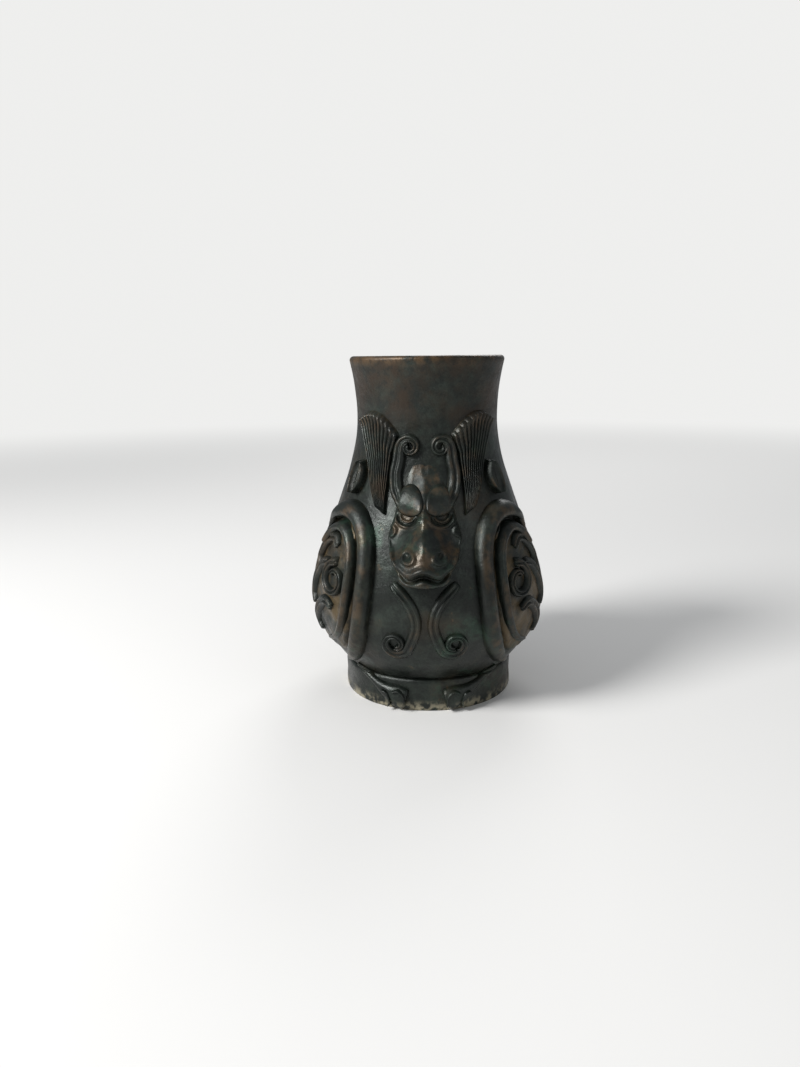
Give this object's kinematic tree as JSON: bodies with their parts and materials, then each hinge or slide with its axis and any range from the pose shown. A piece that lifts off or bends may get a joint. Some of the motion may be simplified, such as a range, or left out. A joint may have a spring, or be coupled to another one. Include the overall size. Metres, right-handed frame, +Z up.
{
  "type": "bronze vase",
  "caption": "Pear-shaped bronze vase on a ring foot, with two winged beasts in relief back to back and a flared mouth.",
  "frame": {"origin": "middle of the foot's underside, on the surface that the vase stands on", "axes": "+Z up through the mouth, -Y towards the viewer and out of the front beast's face, +X to the viewer's right"},
  "size_m": [0.1066, 0.1276, 0.15],
  "materials": {
    "body_bronze": "dark green-black cast bronze, semi-gloss",
    "relief_bronze": "dark green bronze relief with worn brown ridges",
    "foot_bronze": "brown-green bronze with pale deposits at the edge"
  },
  "bodies": {
    "root": {"vessel_wall": "body_bronze", "foot_ring": "foot_bronze", "base_plate": "foot_bronze", "front_mask": "relief_bronze", "front_left_horn": "relief_bronze", "front_left_mane": "relief_bronze", "front_left_ear": "relief_bronze", "front_left_wing_rim": "relief_bronze", "front_left_wing_scroll": "relief_bronze", "front_left_chest_scroll": "relief_bronze", "front_left_paw": "foot_bronze", "front_right_horn": "relief_bronze", "front_right_mane": "relief_bronze", "front_right_ear": "relief_bronze", "front_right_wing_rim": "relief_bronze", "front_right_wing_scroll": "relief_bronze", "front_right_chest_scroll": "relief_bronze", "front_right_paw": "foot_bronze", "back_mask": "relief_bronze", "back_left_horn": "relief_bronze", "back_left_mane": "relief_bronze", "back_left_ear": "relief_bronze", "back_left_wing_rim": "relief_bronze", "back_left_wing_scroll": "relief_bronze", "back_left_chest_scroll": "relief_bronze", "back_left_paw": "foot_bronze", "back_right_horn": "relief_bronze", "back_right_mane": "relief_bronze", "back_right_ear": "relief_bronze", "back_right_wing_rim": "relief_bronze", "back_right_wing_scroll": "relief_bronze", "back_right_chest_scroll": "relief_bronze", "back_right_paw": "foot_bronze"}
  },
  "joints": []
}
